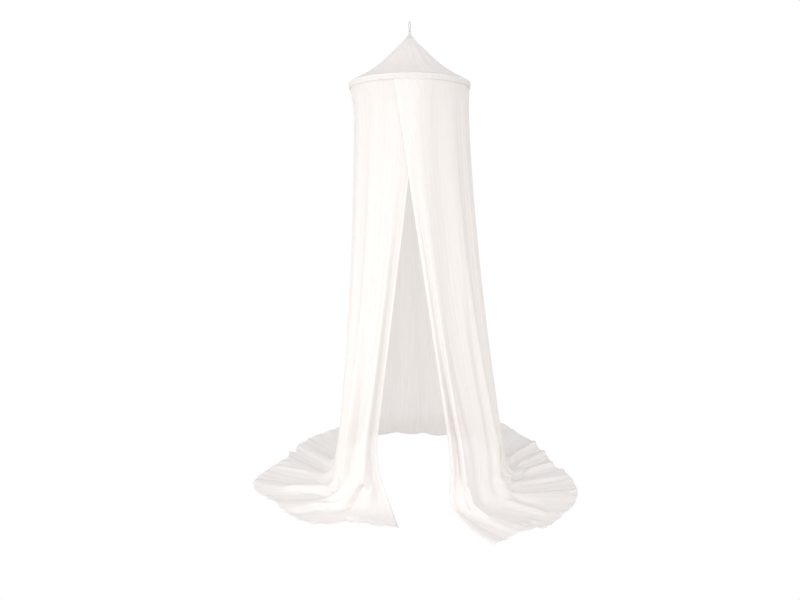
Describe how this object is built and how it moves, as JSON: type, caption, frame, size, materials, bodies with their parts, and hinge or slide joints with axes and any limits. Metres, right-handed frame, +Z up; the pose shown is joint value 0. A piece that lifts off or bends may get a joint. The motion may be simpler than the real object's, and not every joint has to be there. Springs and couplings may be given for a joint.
{
  "type": "bed canopy with hoop",
  "caption": "Sheer white bed canopy: a gathered cone over a hoop, with a long open-fronted wall that crosses over at the top and trails on the floor.",
  "frame": {"origin": "inner top of the cord loop, where a ceiling hook bears; the floor that the cloth trails on is 2.28 m below", "axes": "+Z up, -Y towards the open front, +X to the right as the front is seen"},
  "size_m": [1.5796, 1.6085, 2.282],
  "materials": {
    "voile": "sheer crinkled net",
    "band": "folded strip of the same cloth, stitched",
    "hoop": "plain extruded tube",
    "cord": "twisted cord"
  },
  "bodies": {
    "root": {"wall_cloth": "voile", "cone_cloth": "voile", "hoop_casing": "band", "hoop": "hoop", "hanging_loop": "cord"}
  },
  "joints": []
}
